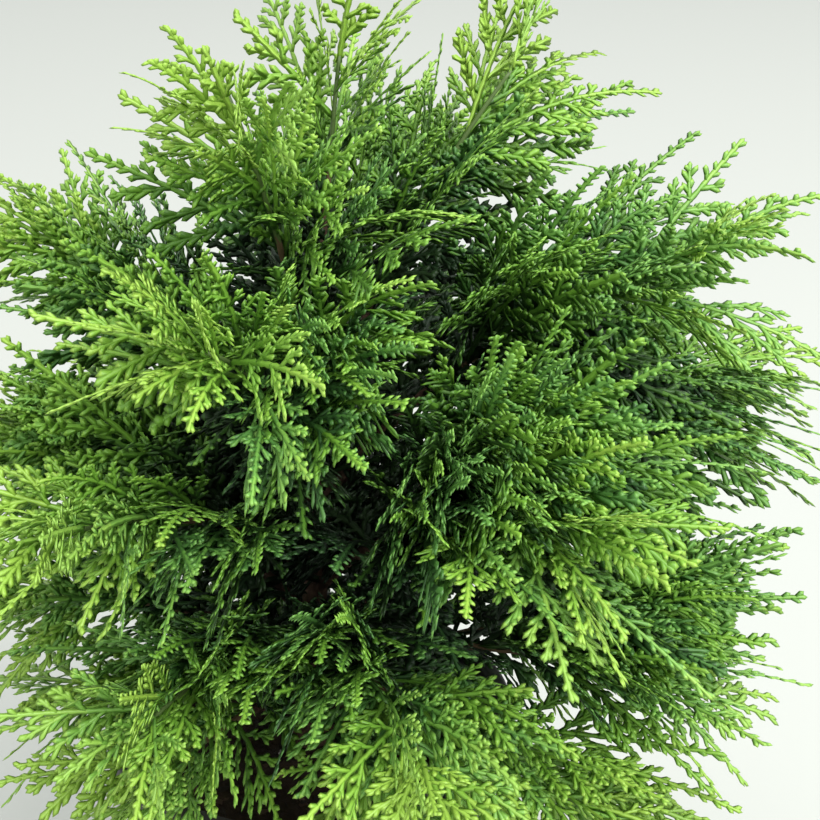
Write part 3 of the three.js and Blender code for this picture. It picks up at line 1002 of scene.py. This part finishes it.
# Deeper in the crown a spray's tone is darker: partly its older foliage, partly painted shade of the crown's
# inside.
AGE_AND_SHADE_TONE = {"middle": 0.36, "gain": 2.1, "depth": 0.77, "vary": (-0.12, 0.14), "at": 0.6}
BLUE_SHARE, BLUE_HEIGHT = (0.6, 0.05), 200  # of the sprays, at the pot's rim and at this height above it
MAIN_BREADTH, CUP, SAG = (0.75, 1), (0.0, 0.35), (0.4, 1.6)
SHOOT = {"half_width": 0.93, "height": 0.42, "waist": 0.76, "leaf": 2.1, "leaves": (2, 40), "thinning": 0.12}
LEAF_PART, TIP_RISE = 0.5, 0.1  # the last leaf is this much of a leaf long, and its tip stands this high
RIB = {"bend": 0.16, "width": 0.95, "tones": (0.0, 0.6)}
SIDE = {
    "first": (0, 4),
    "last": 0.97,
    "full_at": 0.553,
    "most_narrowed": 1.45,
    "root_reach": 0.55,
    "reach_gain": 2.2,
    "angle": math.radians(38),
    "angle_less": 0.12,
    "angle_vary": 0.13,
    "length_vary": (0.78, 1.15),
    "least": (2.6, 3.8),
    "pitch": 1.42,
    "pitch_per_length": 0.205,
    "pitch_vary": (0.8, 1.15),
    "turn": (0.05, 0.25),
    "slope": 0.12,
    "width": 0.9,
    "tone_per_share": 0.40,
    "tip_gain": 0.2,
}
TWIG = {
    "first": (1.8, 2.8),
    "last": 2.2,
    "pitch": (1.45, 2.0),
    "per_left": 0.42,
    "least": 1.5,
    "most": 3.0,
    "per_length": 0.085,
    "length_vary": (0.6, 1.25),
    "angle": math.radians(30),
    "angle_vary": 0.17,
    "turn": (0.0, 0.4),
    "slope": 0.2,
    "tone_per_share": 0.16,
    "tip_gain": 0.16,
}


def arc(start, angle, turn, run):
    """A point this far along a shoot that leaves start at an angle and turns evenly."""
    middle = angle + turn / 2
    return start[0] + run * math.cos(middle), start[1] + run * math.sin(middle)


def side_shoot(start, way, side, length, tone, rng):
    """A side shoot with its twigs, each as where it starts along and across the rib and out of the plane, its
    way, its turning, its slope out of the plane, its length, its width, and its tone at foot and tip."""
    turn, slope = -side * rng.uniform(*SIDE["turn"]), either_way(rng, SIDE["slope"])
    rows = [(*start, 0, way, turn, slope, length, SIDE["width"], tone, tone + SIDE["tip_gain"])]
    twig_side, at = -side, rng.uniform(*TWIG["first"])
    while at < length - TWIG["last"]:
        twig_side = -twig_side
        by_place = TWIG["least"] + TWIG["per_left"] * (length - at)
        by_length = TWIG["most"] + TWIG["per_length"] * length
        twig = min(by_place, by_length) * rng.uniform(*TWIG["length_vary"])
        twig_angle = TWIG["angle"] + either_way(rng, TWIG["angle_vary"])
        twig_way = way + turn * at / length + twig_side * twig_angle
        twig_turn = -twig_side * rng.uniform(*TWIG["turn"])
        twig_slope = slope + either_way(rng, TWIG["slope"])
        place = (*arc(start, way, turn * at / length, at), slope * at)
        own = tone + TWIG["tone_per_share"] * at / length
        rows.append((*place, twig_way, twig_turn, twig_slope, twig, 1, own, own + TWIG["tip_gain"]))
        at += rng.uniform(*TWIG["pitch"])
    return rows


def shoots_of(length, breadth, rng):
    """Every shoot of a flat spray: its rib and its side shoots, long in the middle and short at the tip."""
    bend = either_way(rng, RIB["bend"])
    rows = [(0, 0, 0, -bend / 2, bend, 0, length, RIB["width"], *RIB["tones"])]
    side = rng.choice([-1, 1])
    foot = STALK * length + rng.uniform(*SIDE["first"])
    while foot < length * SIDE["last"]:
        side = -side
        share = foot / length
        narrowed = min(max(share - STALK, 0) / SIDE["full_at"], SIDE["most_narrowed"])
        reach = 1 - NARROWING * narrowed**BULGE
        reach *= min(SIDE["root_reach"] + SIDE["reach_gain"] * share, 1)
        angle = SIDE["angle"] - SIDE["angle_less"] * share + either_way(rng, SIDE["angle_vary"])
        long = breadth * WIDTH * length * reach / math.sin(angle) * rng.uniform(*SIDE["length_vary"])
        long = min(max(long, rng.uniform(*SIDE["least"])), length - foot + 1)
        start = arc((0, 0), -bend / 2, bend * share, foot)
        way = -bend / 2 + bend * share + side * angle
        rows += side_shoot(start, way, side, long, SIDE["tone_per_share"] * share, rng)
        foot += (SIDE["pitch"] + SIDE["pitch_per_length"] * long) * rng.uniform(*SIDE["pitch_vary"])
    return np.array(rows)


def chain_corners(shoots, share):
    """The corners of shoots with leaf ends at these shares of their length: three at each, and a tip."""
    u, v, w, way, turn, slope, length, width, _, _ = shoots.T[..., None]
    waists = np.where((len(share) - np.arange(len(share))) % 2 == 0, 1.0, SHOOT["waist"])
    waists[-1] = 0
    angle = way + turn * share
    middle = way + turn * share / 2
    run = length * share
    u, v, w = u + run * np.cos(middle), v + run * np.sin(middle), w + slope * run
    half = SHOOT["half_width"] * width * waists * (1 - SHOOT["thinning"] * share)
    side_u, side_v = -np.sin(angle) * half, np.cos(angle) * half
    left = np.stack([u + side_u, v + side_v, w], -1)
    right = np.stack([u - side_u, v - side_v, w], -1)
    ridge = np.stack([u, v, w + SHOOT["height"] * waists], -1)
    rings = np.stack([left, right, ridge], 2)[:, :-1]
    tips = np.stack([u[:, -1], v[:, -1], w[:, -1] + TIP_RISE], -1)[:, None]
    return np.concatenate([rings.reshape(len(shoots), -1, 3), tips], 1)


def chain_faces(count):
    """The faces of a shoot of this many leaves, and the leaf end whose tone each face takes."""
    faces, ends = [(0, 1, 2)], [0]
    for i in range(count - 1):
        for a, b in ((0, 2), (2, 1), (1, 0)):
            here, beside = 3 * i + a, 3 * i + b
            faces += [(here, beside, here + 3), (beside, beside + 3, here + 3)]
            ends += [i, i]
    last, tip = 3 * (count - 1), 3 * count
    faces += [(last, last + 2, tip), (last + 2, last + 1, tip), (last + 1, last, tip)]
    ends += [count, count, count]
    return np.array(faces), ends


def place_shoots(corners, sprays, owner):
    """Lays flat shoots on their sprays, which droop to the tip and to both sides and are a little cupped."""

    def of_each(key):
        return np.array([spray[key] for spray in sprays])[owner][:, None]

    root, along, across = (of_each(key) for key in ("root", "along", "across"))
    keys = ("length", "cup", "sag", "grain", "droop")
    length, cup, sag, grain, droop = (of_each(key)[..., None] for key in keys)
    out = np.cross(along, across)
    u, v, w = (corners[..., i:i + 1] * grain for i in range(3))
    flat = root + along * u + across * v + out * (w - cup * v**2 / length)
    return flat - UP * (droop * u**2 + sag * v**2) / length


def leaf_chains(shoots, sprays, owner, tone_shift):
    """The shoots as closed three-sided chains of scale leaves, with a finish for each face."""
    chains = []
    blue = np.array([spray["blue"] for spray in sprays])
    *_, length, _, foot_tone, tip_tone = shoots.T
    counts = np.clip(np.round(length / SHOOT["leaf"]), *SHOOT["leaves"]).astype(int)
    for count in np.unique(counts):
        chosen = counts == count
        share = np.append(np.arange(count) / (count - LEAF_PART), 1)
        corners = place_shoots(chain_corners(shoots[chosen], share), sprays, owner[chosen])
        faces, ends = chain_faces(count)
        starts = corners.shape[1] * np.arange(len(corners))[:, None, None]
        tone = lerp(foot_tone[chosen][:, None], tip_tone[chosen][:, None], share[ends])
        tone = tone + tone_shift[chosen][:, None]
        finish = TONES * blue[owner[chosen]][:, None] + np.searchsorted(TONE_STEPS, tone)
        chains.append((corners.reshape(-1, 3), (faces + starts).reshape(-1, 3), finish.ravel()))
    return joined(chains)


def foliage_of(sprays, seed):
    """All the leaves of some sprays. Outer sprays are lighter and deep ones darker, partly older foliage and
    partly painted shade; more of the low ones are bluish.
    """
    rng = np.random.default_rng(seed)
    rows, owner, shift = [], [], []
    for i, spray in enumerate(sprays):
        spray["cup"], spray["sag"] = rng.uniform(*CUP), rng.uniform(*SAG)
        blue_share = lerp(*BLUE_SHARE, (spray["root"][2] - POT_HEIGHT) / BLUE_HEIGHT)
        spray["blue"] = int(rng.uniform() < blue_share)
        breadth = spray.get("breadth", rng.uniform(*MAIN_BREADTH))
        shoots = shoots_of(spray["length"] / spray["grain"], breadth, rng)
        # Painted shade with age: the deeper the spray's middle lies in the crown, the darker its tone.
        middle = spray["root"] + AGE_AND_SHADE_TONE["at"] * spray["length"] * spray["along"]
        tone = AGE_AND_SHADE_TONE["middle"] + AGE_AND_SHADE_TONE["gain"] * (float(outline_at(middle)) - AGE_AND_SHADE_TONE["depth"])
        rows.append(shoots)
        owner.append(np.full(len(shoots), i))
        shift.append(np.full(len(shoots), tone + rng.uniform(*AGE_AND_SHADE_TONE["vary"])))
    return leaf_chains(np.vstack(rows), sprays, np.concatenate(owner), np.concatenate(shift))


# The pieces of foliage: the masses of neighbouring limbs are joined as far as one piece may hold, and the
# sprays of the trunk are a piece of their own.

MOST_FACES = 190_000
INNER_SEED = 31


def finish_foliage(number, grown):
    piece = mesh_from(f"foliage_{number}", *joined([part for _, part in grown]), GREENS)
    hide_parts(*[f"mass_{name}" for name, _ in grown])


groups, room_left = [], 0
for limb in limbs:
    part = foliage_of(limb["sprays"], limb["seed"] + 1)
    face_count = len(part[1])
    if face_count > room_left:
        groups.append([])
        room_left = MOST_FACES
    groups[-1].append((limb["name"], part))
    room_left -= face_count
for number, grown in enumerate(groups):
    finish_foliage(number + 1, grown)

inner = foliage_of(trunk_sprays(np.random.default_rng(INNER_SEED)), INNER_SEED + 1)
inner_piece = mesh_from("foliage_inner", *inner, GREENS)

# The stage: a plain pale floor, soft daylight from above and the front, and the photograph's own viewpoint,
# a little above the plant and close to it.

FLOOR_SIZE, FLOOR_COLOUR, FLOOR_ROUGHNESS = 8, (0.46, 0.475, 0.44), 0.9
DAYLIGHT, DAYLIGHT_STRENGTH = (0.97, 0.99, 1.0), 1.02
LIGHT_AIM = Vector((0.02, 0, 0.2))
CAMERA_AIM = Vector((29.5, 0, 208)) * MM
CAMERA_DISTANCE = 0.430
CAMERA_ELEVATION = math.radians(25)
CAMERA_VIEW = math.radians(29)
CAMERA_NEAR = 0.01


def add_light(name, place, size, power):
    bpy.ops.object.light_add(type="AREA", location=place)
    light = bpy.context.object
    light.name = name
    light.data.shape, light.data.size, light.data.energy = "SQUARE", size, power
    light.rotation_euler = (LIGHT_AIM - Vector(place)).to_track_quat("-Z", "Y").to_euler()


deselect()
bpy.ops.mesh.primitive_plane_add(size=FLOOR_SIZE, location=(0, 0, 0))
floor = bpy.context.object
floor.name = "floor"
floor.data.materials.append(plain_finish("pale_floor", FLOOR_COLOUR, FLOOR_ROUGHNESS))

world = bpy.data.worlds.new("daylight")
world.use_nodes = True
world.node_tree.nodes["Background"].inputs["Color"].default_value = (*DAYLIGHT, 1)
world.node_tree.nodes["Background"].inputs["Strength"].default_value = DAYLIGHT_STRENGTH
bpy.context.scene.world = world
bpy.context.scene.view_settings.view_transform = "Standard"

add_light("window", (1.4, -1.6, 2.0), 1.8, 84)
add_light("ceiling", (0.5, -0.2, 2.8), 2.4, 52)

back = Vector((0, -math.cos(CAMERA_ELEVATION), math.sin(CAMERA_ELEVATION)))
bpy.ops.object.camera_add(location=CAMERA_AIM + back * CAMERA_DISTANCE)
camera = bpy.context.object
camera.rotation_euler = (-back).to_track_quat("-Z", "Y").to_euler()
camera.data.angle = CAMERA_VIEW
camera.data.clip_start = CAMERA_NEAR
bpy.context.scene.camera = camera

deselect()
